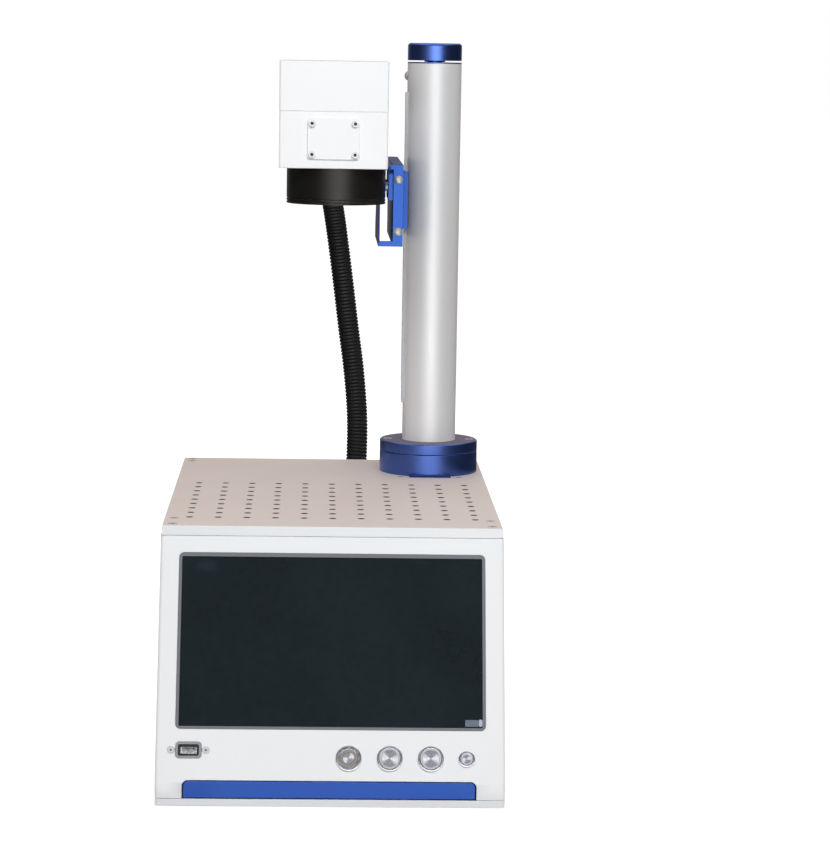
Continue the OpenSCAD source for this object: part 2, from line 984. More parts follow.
module display_module() {
  color("darkslategray") {
    on_panel(0, glass_s, -sheet_t - bezel_back - display_t)
      linear_extrude(display_t)
        rounded(glass_w, glass_h + band_bottom, glass_r);
    on_panel(0, glass_s, -sheet_t - bezel_back - display_t - display_board_t)
      linear_extrude(display_board_t + display_t / 2)
        square([glass_w * display_board_share[0], glass_h * display_board_share[1]], center = true);
  }
}

// USB socket

module usb_frame() {
  color("gray")
    on_panel(usb_x, usb_s)
      difference() {
        union() {
          translate([0, 0, -usb_body_t])
            linear_extrude(usb_body_t)
              rounded(usb_w, usb_h, usb_r);
          translate([0, 0, -sheet_t - usb_ear_t])
            linear_extrude(usb_ear_t)
              rounded(usb_screw_pitch + usb_ear_d, usb_h, usb_r);
        }
        translate([0, 0, -usb_cavity_t])
          linear_extrude(usb_cavity_t + cut)
            rounded(usb_cavity_w, usb_cavity_h, usb_r / 2);
        translate([0, 0, -usb_body_t - cut])
          linear_extrude(usb_body_t)
            rounded(usb_shell_w + 2 * hair, usb_shell_h + 2 * hair, 2 * usb_shell_t);
        for (x = [-1, 1])
          translate([x * usb_screw_pitch / 2, 0, 0])
            sunk_hole(usb_screw_head_d, usb_screw_d, usb_screw_l);
      }
}

module usb_shell() {
  color("silver")
    on_panel(usb_x, usb_s, -usb_cavity_t - usb_shell_l)
      difference() {
        linear_extrude(usb_shell_l)
          rounded(usb_shell_w, usb_shell_h, 2 * usb_shell_t);
        translate([0, 0, 2 * usb_shell_t])
          linear_extrude(usb_shell_l)
            difference() {
              rounded(usb_shell_w - 2 * usb_shell_t, usb_shell_h - 2 * usb_shell_t, usb_shell_t);
              translate([0, usb_tongue_gap])
                square([usb_shell_w - usb_shell_h / 2, usb_tongue_h], center = true);
            }
      }
}

// Buttons

module button_housing(i) {
  head_d = button_head_d[i];
  body_d = button_body_d[i];
  difference() {
    union() {
      cylinder(h = button_proud - button_chamfer, d = head_d);
      translate([0, 0, button_proud - button_chamfer])
        cylinder(h = button_chamfer, d1 = head_d, d2 = head_d - 2 * button_chamfer);
      translate([0, 0, -button_body_l])
        cylinder(h = button_body_l + button_chamfer, d = body_d);
    }
    translate([0, 0, button_proud - button_recess_t])
      cylinder(h = button_recess_t + cut, d = button_recess_d[i]);
    translate([0, 0, button_proud - button_cap_l - button_travel - seam])
      cylinder(h = button_cap_l + button_travel + seam + cut, d = button_cap_d[i] + 4 * hair);
  }
}

module button_nut(i) {
  translate([0, 0, -sheet_t - button_nut_t])
    difference() {
      cylinder(h = button_nut_t, d = button_head_d[i] + button_nut_rim, $fn = 6);
      translate([0, 0, -cut])
        cylinder(h = button_nut_t + 2 * cut, d = button_body_d[i] + 2 * hair);
    }
}

module button_housings() {
  color("silver")
    for (i = [0:len(button_x) - 1])
      on_panel(button_x[i], button_s) {
        button_housing(i);
        button_nut(i);
      }
}

module button_cap(i) {
  color("silver")
    on_panel(button_x[i], button_s, button_proud + button_cap_proud - button_recess_t - button_cap_l)
      cylinder(h = button_cap_l, d = button_cap_d[i]);
}

module button_cap_1() {
  button_cap(0);
}

module button_cap_2() {
  button_cap(1);
}

module button_cap_3() {
  button_cap(2);
}

module button_cap_4() {
  button_cap(3);
}

// Drawer

module drawer_front() {
  w = drawer_open_w - 2 * drawer_side_gap;
  color("royalblue")
    translate([drawer_off, y_front + drawer_front_t, drawer_low])
      to_front()
        linear_extrude(drawer_front_t)
          intersection() {
            rounded(w, 2 * drawer_front_h, drawer_open_r - drawer_gap);
            translate([-w / 2, 0])
              square([w, drawer_front_h]);
          }
}

module drawer_tray() {
  y0 = y_front + drawer_front_t;
  x0 = drawer_off - tray_w / 2;
  x1 = drawer_off + tray_w / 2;
  color("lightsteelblue")
    difference() {
      block([x0, y0, tray_low], [x1, y0 + tray_l, tray_low + tray_h]);
      block([x0 + tray_wall, y0 + tray_wall, tray_low + tray_wall],
        [x1 - tray_wall, y0 + tray_l - tray_wall, tray_low + tray_h + cut]);
    }
}

module rails_moving() {
  y0 = y_front + drawer_front_t;
  color("silver")
    for (x = [-1, 1])
      translate([drawer_off + x * (tray_w + rail_t) / 2, y0 + rail_l / 2 + rail_web, rail_low + rail_h / 2])
        cube([rail_t, rail_l, rail_h], center = true);
}

module rails_fixed() {
  inner = tray_w / 2 + rail_t + seam;
  outer = inner + rail_web;
  lip = rail_t - seam;
  top = rail_low + rail_h + seam + rail_web;
  low = rail_low - seam - rail_web;
  y0 = y_front + rail_set;
  y1 = y0 + rail_l;
  color("silver")
    translate([drawer_off, 0, 0])
      for (side = [0, 1])
        mirror([side, 0, 0]) {
          block([inner, y0, floor_h], [outer, y1, top]);
          block([inner - lip, y0, low], [inner, y1, low + rail_web]);
          block([inner - lip, y0, top - rail_web], [inner, y1, top]);
          block([outer, y0, floor_h], [outer + rail_foot_w, y1, floor_h + rail_web]);
        }
}

// Electronics on the shelf

module chassis_shelf() {
  half_w = inner_x - shelf_inset;
  y0 = y_front + shelf_front;
  y1 = y_back - shelf_inset;
  color("gainsboro") {
    block([-half_w, y0, shelf_h], [half_w, y1, shelf_h + sheet_t]);
    for (x = [-1, 1], y = [y0 + standoff_end, (y0 + y1) / 2, y1 - standoff_end])
      translate([x * (inner_x - standoff_side), y, floor_h])
        cylinder(h = shelf_h + sheet_t / 2 - floor_h, d = standoff_d);
  }
}

module laser_source() {
  y0 = y_lip + laser_front;
  top = shelf_h + sheet_t + laser_t;
  step = fin_t + fin_gap;
  color("dimgray") {
    difference() {
      block([laser_x - laser_w / 2, y0, shelf_h + sheet_t], [laser_x + laser_w / 2, y0 + laser_l, top]);
      for (x = [laser_x - laser_w / 2 + fin_t : step : laser_x + laser_w / 2 - step])
        block([x, y0 - cut, top - fin_h], [x + fin_gap, y0 + laser_l + cut, top + cut]);
    }
    translate([laser_x, y0 + laser_l, shelf_h + sheet_t + laser_t / 2])
      to_back()
        cylinder(h = port_l, d = port_d);
  }
}

module power_supply() {
  y0 = y_lip + supply_front;
  low = shelf_h + sheet_t;
  color("silver")
    difference() {
      block([free_x - supply_w / 2, y0, low], [free_x + supply_w / 2, y0 + supply_l, low + supply_t]);
      block([free_x - supply_w / 2 + fin_t, y0 - cut, low + terminal_h],
        [free_x + supply_w / 2 - fin_t, y0 + terminal_l, low + supply_t + cut]);
      for (y = [y0 + 2 * terminal_l : vent_pitch : y0 + supply_l - terminal_l], x = [-1, 1])
        translate([free_x + x * supply_w / 4, y, low + supply_t])
          cube([vent_l, vent_w, 2 * fin_t], center = true);
    }
}

module mini_pc() {
  low = shelf_h + sheet_t;
  color("black")
    difference() {
      translate([free_x, y_lip + pc_front + pc_l / 2, low])
        linear_extrude(pc_t)
          rounded(pc_w, pc_l, pc_r);
      for (k = [-2:2])
        translate([free_x + k * vent_pitch, y_lip + pc_front + pc_l / 2, low + pc_t])
          cube([vent_w, vent_l * 2, 2 * fin_t], center = true);
    }
}

module control_card() {
  y0 = y_lip + card_front;
  low = shelf_h + sheet_t;
  top = low + card_post_h + card_t;
  color("darkgreen") {
    translate([card_x - card_w / 2, y0, low + card_post_h])
      cube([card_w, card_l, card_t]);
    for (x = [-1, 1], y = [card_post_inset, card_l - card_post_inset])
      translate([card_x + x * (card_w / 2 - card_post_inset), y0 + y, low])
        cylinder(h = card_post_h, d = card_post_d);
    for (chip = chip_share)
      translate([card_x + (chip[0] - 0.5) * card_w, y0 + chip[1] * card_l, top])
        cube([chip[2] * card_w, chip[2] * card_w, chip_h]);
    translate([card_x - plug_w / 2, y0, top])
      cube([plug_w, plug_l, plug_h]);
  }
}

module fan_frame() {
  y0 = y_back - sheet_t;
  color("black")
    difference() {
      translate([fan_x, y0, fan_h])
        to_front() {
          linear_extrude(fan_t)
            difference() {
              rounded(fan_w, fan_w, rear_screw_edge / 2);
              circle(d = fan_bore_d);
            }
          translate([0, 0, fan_t - fan_hub_t]) {
            cylinder(h = fan_hub_t, d = fan_hub_d);
            for (a = [0, 90])
              rotate([0, 0, a + 45])
                translate([-fan_bore_d / 2 - cut, -fan_strut / 2, 0])
                  cube([fan_bore_d + 2 * cut, fan_strut, fan_hub_t]);
          }
        }
      translate([fan_x, y0 + cut, fan_h])
        to_front()
          cylinder(h = fan_t + 2 * cut, d = fan_shaft_d + 2 * hair);
      at_fan_screws()
        to_front()
          cylinder(h = pan_screw_l, d = pan_screw_d + 2 * hair);
    }
}

module fan_rotor() {
  y1 = y_back - sheet_t - fan_tip_gap;
  tip_r = fan_bore_d / 2 - fan_tip_gap;
  color("dimgray")
    translate([fan_x, y1, fan_h])
      to_front() {
        cylinder(h = fan_rotor_t, d = fan_hub_d);
        cylinder(h = fan_rotor_t + fan_shaft_l, d = fan_shaft_d);
        intersection() {
          cylinder(h = fan_rotor_t, r = tip_r);
          for (k = [0:fan_blades - 1])
            rotate([0, 0, k * 360 / fan_blades])
              translate([fan_hub_d / 2 - fan_blade_t, 0, fan_rotor_t / 2])
                rotate([fan_blade_tilt, 0, 0])
                  translate([0, -fan_blade_w / 2, -fan_blade_t / 2])
                    cube([fan_bore_d, fan_blade_w, fan_blade_t]);
        }
      }
}

module mains_inlet() {
  socket_z = mains_h - socket_drop;
  rocker_z = mains_h + rocker_rise;
  color("black") {
    difference() {
      union() {
        translate([mains_x, y_back, mains_h])
          to_back()
            linear_extrude(mains_flange)
              rounded(mains_w + 2 * mains_lip, mains_tall + 2 * mains_lip, mains_lip);
        translate([mains_x, y_back - mains_depth, mains_h])
          to_back()
            linear_extrude(mains_depth)
              square([mains_w, mains_tall], center = true);
      }
      translate([mains_x, y_back + mains_flange - socket_deep, socket_z])
        to_back()
          linear_extrude(socket_deep + cut)
            rounded(socket_w, socket_tall, socket_r);
      translate([mains_x, y_back + mains_flange - rocker_deep - rocker_tip, rocker_z])
        to_back()
          linear_extrude(rocker_deep + rocker_tip + cut)
            square([rocker_w + 2 * rocker_gap, rocker_l + 2 * rocker_gap], center = true);
      translate([mains_x - rocker_w, y_back - rocker_tip, rocker_z])
        to_right()
          cylinder(h = 2 * rocker_w, d = rocker_pin_d + 2 * hair);
    }
    for (blade = [[-blade_dx, -blade_dz], [blade_dx, -blade_dz], [0, blade_dz]])
      translate([mains_x + blade[0], y_back + mains_flange - socket_deep - hair, socket_z + blade[1]])
        to_back()
          linear_extrude(blade_l + hair)
            square([blade_w, blade_h], center = true);
  }
}

module power_rocker() {
  rocker_z = mains_h + rocker_rise;
  pin_y = y_back - rocker_tip;
  face = rocker_tip + mains_flange + rocker_gap;
  half = rocker_l / 2 - rocker_gap;
  rise = half * sin(rocker_angle);
  color("dimgray") {
    translate([mains_x - rocker_w / 2, pin_y, rocker_z])
      rotate([90, 0, 90])
        linear_extrude(rocker_w)
          intersection() {
            circle(half);
            polygon([[0, -rocker_tip], [rocker_tip, -half], [face, -half], [face, 0],
              [face + rise, half], [rocker_tip, half], [0, rocker_tip]]);
          }
    translate([mains_x - rocker_w / 2 - rocker_pin_d, pin_y, rocker_z])
      to_right()
        cylinder(h = rocker_w + 2 * rocker_pin_d, d = rocker_pin_d);
  }
}

// Column

module column_tube() {
  color("silver")
    difference() {
      translate([col_x, col_y, plate_top_h])
        cylinder(h = tube_len, r = tube_r);
      translate([col_x, col_y, plate_top_h - cut])
        cylinder(h = tube_len + 2 * cut, r = tube_bore_r);
      block([col_x - tube_r - cut, col_y - slot_w / 2, slot_z],
        [col_x, col_y + slot_w / 2, slot_z + slot_len]);
      translate([col_x, col_y, tube_top - side_screw_h])
        rotate([0, -90, 0])
          cylinder(h = tube_d, d = side_screw_d + 2 * hair);
    }
}

module ring(low, h) {
  difference() {
    translate([col_x, col_y, low]) {
      cylinder(h = h - ring_chamfer, d = ring_d);
      translate([0, 0, h - ring_chamfer])
        cylinder(h = ring_chamfer, d1 = ring_d, d2 = ring_d - 2 * ring_chamfer);
    }
    translate([col_x, col_y, low - cut])
      cylinder(h = h + 2 * cut, r = ring_bore_r);
    at_ring_screws()
      sunk_hole(ring_screw_head_d, ring_screw_d, ring_screw_l + cut);
  }
}

module flange_lower() {
  color("midnightblue") {
    ring(plate_top_h, low_ring_h);
    difference() {
      block([col_x - key_w / 2, col_y - ring_d / 2 - key_out, plate_top_h],
        [col_x + key_w / 2, col_y - tube_r, plate_top_h + key_h]);
      translate([col_x, col_y, plate_top_h - cut])
        cylinder(h = key_h + 2 * cut, d = ring_d - 2 * ring_chamfer);
    }
  }
}

module flange_upper() {
  color("royalblue")
    ring(plate_top_h + low_ring_h, up_ring_h);
}

module column_base() {
  color("silver")
    difference() {
      union() {
        block([col_x - base_plate_w / 2, col_y - base_plate_l / 2, plate_under_h - base_plate_t],
          [col_x + base_plate_w / 2, col_y + base_plate_l / 2, plate_under_h]);
        translate([col_x, col_y, plate_under_h - base_plate_t])
          cylinder(h = base_plate_t + plate_t + base_bolt_l, d = base_bolt_d);
      }
      at_base_screws()
        translate([0, 0, -plate_t - base_plate_t - cut])
          cylinder(h = base_plate_t + 2 * cut, d = base_screw_d + 2 * hair);
    }
}

module column_foot() {
  color("gray")
    translate([col_x, col_y, plate_top_h])
      difference() {
        cylinder(h = foot_plug_l, r = tube_bore_r - hair);
        translate([0, 0, -cut])
          cylinder(h = base_bolt_l + cut, d = base_bolt_d + 2 * hair);
        translate([0, 0, foot_plug_l - bearing_t])
          cylinder(h = bearing_t + cut, d = bearing_d + 2 * hair);
      }
}

// Sealed ball bearing standing on z = 0, with a groove at the edge of each shield
module bearing() {
  inner_d = screw_d + 2 * hair;
  mid_d = (bearing_d + inner_d) / 2;
  difference() {
    cylinder(h = bearing_t, d = bearing_d);
    translate([0, 0, -cut])
      cylinder(h = bearing_t + 2 * cut, d = inner_d);
    for (z = [-cut, bearing_t - bearing_groove / 2])
      translate([0, 0, z])
        difference() {
          cylinder(h = cut + bearing_groove / 2, d = mid_d + bearing_groove);
          cylinder(h = cut + bearing_groove / 2, d = mid_d - bearing_groove);
        }
  }
}

module screw_bearings() {
  color("silver")
    for (z = [screw_low, tube_top - cap_plug_l])
      translate([col_x, col_y, z])
        bearing();
}

module column_cap() {
  color("royalblue")
    translate([col_x, col_y, tube_top])
      difference() {
        union() {
          cylinder(h = cap_t, r = tube_r);
          translate([0, 0, -cap_plug_l])
            cylinder(h = cap_plug_l, r = tube_bore_r - hair);
        }
        translate([0, 0, -cap_plug_l - cut])
          cylinder(h = cap_plug_l + cap_t + 2 * cut, d = screw_d + 4 * hair);
        translate([0, 0, -cap_plug_l - cut])
          cylinder(h = bearing_t + cut, d = bearing_d + 2 * hair);
        translate([0, 0, -side_screw_h])
          rotate([0, -90, 0])
            translate([0, 0, tube_r - side_screw_l - hair])
              cylinder(h = side_screw_l, d = side_screw_d + 2 * hair);
      }
}

module slot_liner() {
  color("gainsboro")
    difference() {
      block([col_x - tube_r - liner_proud, col_y - slot_w / 2, slot_z],
        [col_x - tube_bore_r, col_y + slot_w / 2, slot_z + slot_len]);
      block([col_x - tube_r - liner_proud - cut, col_y - slot_w / 2 + liner_wall, slot_z + liner_wall],
        [col_x, col_y + slot_w / 2 - liner_wall, slot_z + slot_len - liner_wall]);
      translate([col_x, col_y, slot_z - cut])
        cylinder(h = slot_len + 2 * cut, r = tube_bore_r);
    }
}

module lead_screw() {
  color("silver")
    translate([col_x, col_y, screw_low])
      cylinder(h = knob_low + knob_bore_l - screw_low, r = screw_r);
}

module height_knob() {
  color("royalblue")
    translate([col_x, col_y, 0])
      difference() {
        union() {
          translate([0, 0, knob_low])
            rotate_extrude()
              intersection() {
                rounded(knob_d, 2 * knob_h, knob_r);
                square([knob_d, knob_h]);
              }
          translate([0, 0, tube_top + cap_t + seam])
            cylinder(h = knob_gap, d = neck_d);
        }
        translate([0, 0, tube_top])
          cylinder(h = knob_low + knob_bore_l - tube_top, r = screw_r + hair);
      }
}

// Lift

module lift_nut() {
  tongue_w = slot_w - 2 * liner_wall - 2 * tongue_gap;
  color("goldenrod")
    difference() {
      union() {
        translate([col_x, col_y, lift_z - nut_h / 2])
          cylinder(h = nut_h, r = tube_bore_r - nut_gap);
        block([col_x - groove_r, col_y - tongue_w / 2, lift_z - nut_h / 2],
          [col_x - screw_d, col_y + tongue_w / 2, lift_z + nut_h / 2]);
      }
      translate([col_x, col_y, lift_z - nut_h / 2 - cut])
        cylinder(h = nut_h + 2 * cut, r = screw_r + hair);
      at_tongue_screws()
        cylinder(h = web_t + saddle_floor + tongue_screw_bite + hair, d = arm_screw_d + 2 * hair);
    }
}

// Places its children on the beam's left face, pointing right, at the two screws of the nut's tongue
module at_tongue_screws() {
  for (z = [-1, 1])
    translate([web_x0, col_y, lift_z + z * tongue_screw_z])
      to_right()
        children();
}

// Places its children on the beam's left face, pointing right, at the four screws of the saddle
module at_saddle_screws() {
  for (y = [-1, 1], z = [-1, 1])
    translate([web_x0, col_y + y * saddle_w * saddle_screw_y_share,
      lift_z + z * saddle_h * saddle_screw_z_share])
      to_right()
        children();
}

// Places its children on the bracket's left face, pointing right, at the two screws of its upright leg
module at_leg_screws() {
  for (y = [-1, 1])
    translate([web_x0 - angle_t, (leg_y0 + leg_y1 + y * leg_screw_dy) / 2,
      head_z0 - leg_drop + leg_screw_rise])
      to_right()
        children();
}

// Places its children under the bracket, pointing up, at the four screws that hold the head
module at_foot_screws() {
  for (x = [foot_leg_x0 + foot_screw_inset, head_x1 - foot_screw_inset],
    y = [foot_leg_y0 + foot_screw_inset, leg_y1 - foot_screw_inset])
    translate([x, y, head_z0 - angle_t])
      children();
}

// Places its children on the arm's front face, pointing back, at its two dome screws
module at_end_screws() {
  for (z = [web_z0 + dome_edge, web_z1 - dome_edge])
    translate([(web_x0 + web_x1) / 2, arm_y0, z])
      to_back()
        children();
}

// Places its children on the head's front face at the blanking plate's four screws
module at_blank_screws() {
  for (x = [-1, 1], z = [-1, 1])
    translate([head_x + x * blank_screw_dx / 2, head_y0,
      head_z0 + blank_low + (blank_h + z * blank_screw_dz) / 2])
      to_back()
        children();
}

module saddle() {
  color("royalblue")
    difference() {
      block([web_x1, col_y - saddle_w / 2, lift_z - saddle_h / 2],
        [web_x1 + saddle_t, col_y + saddle_w / 2, lift_z + saddle_h / 2]);
      translate([col_x, col_y, lift_z - saddle_h / 2 - cut])
        cylinder(h = saddle_h + 2 * cut, r = tube_r + saddle_gap);
      block([col_x - groove_r, col_y - slot_w / 2 - groove_gap, lift_z - saddle_h / 2 - cut],
        [col_x, col_y + slot_w / 2 + groove_gap, lift_z + saddle_h / 2 + cut]);
      at_saddle_screws()
        cylinder(h = web_t + arm_screw_bite + hair, d = arm_screw_d + 2 * hair);
      at_tongue_screws()
        cylinder(h = web_t + saddle_t, d = arm_screw_d + 2 * hair);
    }
}

module arm_beam() {
  color("royalblue")
    difference() {
      block([web_x0, beam_y0, web_z0], [web_x1, beam_y1, web_z1]);
      at_saddle_screws() {
        translate([0, 0, -cut])
          cylinder(h = web_t + 2 * cut, d = arm_screw_d + 2 * hair);
        translate([0, 0, -cut])
          cylinder(h = arm_screw_head_t + cut, d = arm_screw_head_d + 2 * hair);
      }
      at_tongue_screws() {
        translate([0, 0, -cut])
          cylinder(h = web_t + 2 * cut, d = arm_screw_d + 2 * hair);
        translate([0, 0, -cut])
          cylinder(h = arm_screw_head_t + cut, d = arm_screw_head_d + 2 * hair);
      }
      at_leg_screws()
        cylinder(h = angle_t + arm_screw_bite + hair, d = arm_screw_d + 2 * hair);
      at_end_screws()
        cylinder(h = dome_l + hair, d = arm_screw_d + 2 * hair);
    }
}

module arm_end_plate() {
  color("royalblue")
    difference() {
      union() {
        block([web_x0, arm_y0, web_z0], [web_x1, beam_y0, web_z1]);
        block([web_x0 - hook_w, arm_y0, web_z1 - hook_h], [web_x0, beam_y0, web_z1]);
        block([web_x0 - toe_w, arm_y0, web_z0], [web_x0, beam_y0, web_z0 + toe_h]);
      }
      at_end_screws()
        translate([0, 0, -cut])
          cylinder(h = end_t + 2 * cut, d = arm_screw_d + 2 * hair);
    }
}

module head_bracket() {
  color("royalblue")
    difference() {
      union() {
        difference() {
          block([web_x0 - angle_t, leg_y0, head_z0 - leg_drop], [web_x0, leg_y1, head_z0]);
          translate([web_x0 - angle_t - cut, leg_y0, head_z0])
            to_right()
              linear_extrude(angle_t + 2 * cut)
                difference() {
                  translate([-cut, -cut])
                    square(leg_r + cut);
                  translate([leg_r, leg_r])
                    circle(leg_r);
                }
        }
        block([foot_leg_x0, foot_leg_y0, head_z0 - angle_t], [web_x0, leg_y1, head_z0]);
      }
      at_leg_screws()
        translate([0, 0, -cut])
          cylinder(h = angle_t + 2 * cut, d = arm_screw_d + 2 * hair);
      at_foot_screws()
        translate([0, 0, -cut])
          cylinder(h = angle_t + 2 * cut, d = blank_screw_d + 2 * hair);
    }
}

module lens_guard() {
  top = head_z0 - angle_t - web_z0;
  shelf_y = leg_y1 - beam_y0;
  color("midnightblue")
    translate([guard_x, beam_y0, web_z0])
      rotate([90, 0, 90])
        linear_extrude(guard_t)
          polygon([[0, 0], [guard_rear, 0], [guard_rear, guard_tail_h], [shelf_y, top],
            [guard_step_y, top], [guard_step_y, guard_step_z], [0, guard_step_z]]);
}

module lift_screws() {
  color("silver") {
    at_saddle_screws()
      translate([0, 0, arm_screw_head_t])
        mirror([0, 0, 1])
          cap_screw(arm_screw_head_d, arm_screw_head_t, arm_screw_d,
            web_t - arm_screw_head_t + arm_screw_bite);
    at_tongue_screws()
      translate([0, 0, arm_screw_head_t])
        mirror([0, 0, 1])
          cap_screw(arm_screw_head_d, arm_screw_head_t, arm_screw_d,
            web_t - arm_screw_head_t + saddle_floor + tongue_screw_bite);
    at_leg_screws()
      mirror([0, 0, 1])
        cap_screw(arm_screw_head_d, arm_screw_head_t / 2, arm_screw_d, angle_t + arm_screw_bite);
    at_end_screws()
      mirror([0, 0, 1])
        dome_screw(dome_d, dome_t, arm_screw_d, dome_l);
    at_foot_screws()
      mirror([0, 0, 1])
        cap_screw(blank_screw_head_d, foot_screw_head_t, blank_screw_d, angle_t + head_floor);
    at_blank_screws()
      translate([0, 0, -blank_t])
        mirror([0, 0, 1])
          cap_screw(blank_screw_head_d, blank_screw_head_t, blank_screw_d, blank_t + blank_screw_l);
  }
}

// Marking head

// Box of the head between two heights, drawn in by an inset
module head_block(inset, low, high) {
  translate([head_x, (head_y0 + head_y1) / 2, low])
    linear_extrude(high - low)
      rounded(head_w - 2 * inset, head_l - 2 * inset, head_r);
}

module head_base() {
  blank_edge = blank_window + blank_screw_head_d / 2;
  color("white")
    difference() {
      head_block(0, head_z0, head_seam_z);
      head_block(head_wall, head_z0 + head_floor, head_seam_z + cut);
      translate([lens_x, lens_y, head_z0 - cut])
        cylinder(h = head_floor + 2 * cut, d = lens_port_d);
      translate([head_x, head_y0 - cut, head_z0 + blank_low + blank_h / 2])
        to_back()
          linear_extrude(head_wall + 2 * cut)
            square([blank_w - 2 * blank_edge, blank_h - 2 * blank_edge], center = true);
      at_blank_screws()
        cylinder(h = blank_screw_l + hair, d = blank_screw_d + 2 * hair);
      at_foot_screws()
        cylinder(h = angle_t + head_floor + cut, d = blank_screw_d + 2 * hair);
    }
}

module head_cover() {
  color("white")
    difference() {
      head_block(0, head_seam_z, head_z1);
      head_block(head_wall, head_seam_z - cut, head_z1 - head_wall);
      translate([gland_x, head_y1 - head_wall - cut, gland_z])
        to_back()
          cylinder(h = head_wall + 2 * cut, d = hose_d + 2 * hair);
    }
}

module head_front_plate() {
  color("whitesmoke")
    difference() {
      translate([head_x, head_y0 - blank_t, head_z0 + blank_low + blank_h / 2])
        to_back()
          linear_extrude(blank_t)
            rounded(blank_w, blank_h, blank_r);
      at_blank_screws()
        translate([0, 0, -blank_t - cut])
          cylinder(h = blank_t + 2 * cut, d = blank_screw_d + 2 * hair);
    }
}

module lens_barrel() {
  inner_r = lens_r - lens_wall;
  color("black")
    translate([lens_x, lens_y, lens_low])
      difference() {
        cylinder(h = lens_h, r = lens_r);
        translate([0, 0, lens_lip])
          cylinder(h = lens_h - lens_lip - lens_wall, r = inner_r);
        translate([0, 0, -cut])
          cylinder(h = lens_h, r = inner_r - lens_lip);
        translate([0, 0, lens_h - lens_wall - cut])
          cylinder(h = lens_wall + 2 * cut, d = lens_port_d);
        for (z = lens_groove_z)
          translate([0, 0, z])
            difference() {
              cylinder(h = lens_groove_w, r = lens_r + cut);
              cylinder(h = lens_groove_w, r = lens_r - lens_groove_t);
            }
      }
}

module lens_glass() {
  color("lightcyan")
    translate([lens_x, lens_y, lens_low + lens_lip])
      cylinder(h = lens_glass_t, r = lens_r - lens_wall - hair);
}

module galvo_mount() {
  y1 = mount_y0 + mount_t;
  low = head_z0 + head_floor;
  arm_z = beam_z + mirror_x_size / 2 + clamp_l + motor_x_gap;
  color("silver")
    difference() {
      union() {
        block([mount_x0, mount_y0, low], [mount_x0 + mount_w, y1, low + mount_h]);
        block([mount_x0, mount_y0 - mount_arm_l, arm_z], [lens_x, mount_y0, arm_z + mount_t]);
      }
      translate([lens_x, mount_y0 - cut, beam_z])
        to_back()
          cylinder(h = mount_t + 2 * cut, d = motor_y_d + 2 * hair);
      translate([lens_x - mirror_dx, mount_y0 - cut, beam_z])
        to_back()
          cylinder(h = mount_t + 2 * cut, d = beam_hole_d);
      translate([lens_x - mirror_dx, lens_y, arm_z - cut])
        cylinder(h = mount_t + 2 * cut, d = motor_x_d + 2 * hair);
    }
}

// Motor standing on z = 0, with the bore that its rotor turns in
module galvo_motor(d, l) {
  difference() {
    cylinder(h = l, d = d);
    translate([0, 0, -cut])
      cylinder(h = cut + rotor_shaft_l, d = rotor_shaft_d + 2 * hair);
  }
}

module galvo_motors() {
  color("dimgray") {
    translate([lens_x - mirror_dx, lens_y, beam_z + mirror_x_size / 2 + clamp_l + motor_x_gap])
      galvo_motor(motor_x_d, motor_x_l);
    translate([lens_x, mount_y0, beam_z])
      to_back()
        galvo_motor(motor_y_d, motor_y_l);
  }
}

module galvo_x() {
  half = mirror_x_size / 2;
  color("gold")
    translate([lens_x - mirror_dx, lens_y, beam_z]) {
      rotate([0, 0, 45])
        translate([-mirror_t / 2, -half, -half])
          cube([mirror_t, mirror_x_size, mirror_x_size]);
      translate([0, 0, half - clamp_grip]) {
        cylinder(h = clamp_grip + clamp_l, d = clamp_d);
        cylinder(h = clamp_grip + clamp_l + rotor_shaft_l, d = rotor_shaft_d);
      }
    }
}

module galvo_y() {
  color("gold")
    translate([lens_x, lens_y, beam_z]) {
      rotate([0, -45, 0])
        translate([-mirror_t / 2, -mirror_y_l / 2, -mirror_y_w / 2])
          cube([mirror_t, mirror_y_l, mirror_y_w]);
      translate([0, mirror_y_l / 2 - clamp_grip, 0])
        to_back() {
          cylinder(h = clamp_grip + clamp_l, d = clamp_d);
          cylinder(h = clamp_grip + clamp_l + rotor_shaft_l, d = rotor_shaft_d);
        }
    }
}

module beam_isolator() {
  y1 = head_y1 - head_wall;
  low = head_z0 + head_floor;
  color("dimgray")
    difference() {
      union() {
        translate([lens_x - mirror_dx, y1 - isolator_l, beam_z])
          to_back()
            cylinder(h = isolator_l, d = isolator_d);
        block([lens_x - mirror_dx - isolator_foot_w / 2, y1 - isolator_l, low],
          [lens_x - mirror_dx + isolator_foot_w / 2, y1, beam_z - isolator_d / 4]);
      }
      translate([lens_x - mirror_dx, y1 - isolator_l - cut, beam_z])
        to_back()
          cylinder(h = isolator_l / 2, d = beam_hole_d);
    }
}

// Hose

module head_gland() {
  color("black")
    translate([gland_x, head_y1, gland_z])
      to_back()
        difference() {
          union() {
            cylinder(h = gland_nut_t, d = gland_nut_d, $fn = 6);
            cylinder(h = gland_out, d = gland_d);
            translate([0, 0, -head_wall - gland_in])
              cylinder(h = head_wall + gland_in, d = hose_d);
            translate([0, 0, -head_wall - gland_ring_t])
              cylinder(h = gland_ring_t, d = gland_d);
          }
          translate([0, 0, -head_wall - gland_in - cut])
            cylinder(h = head_wall + gland_in + gland_out + 2 * cut, d = hose_bore);
        }
}

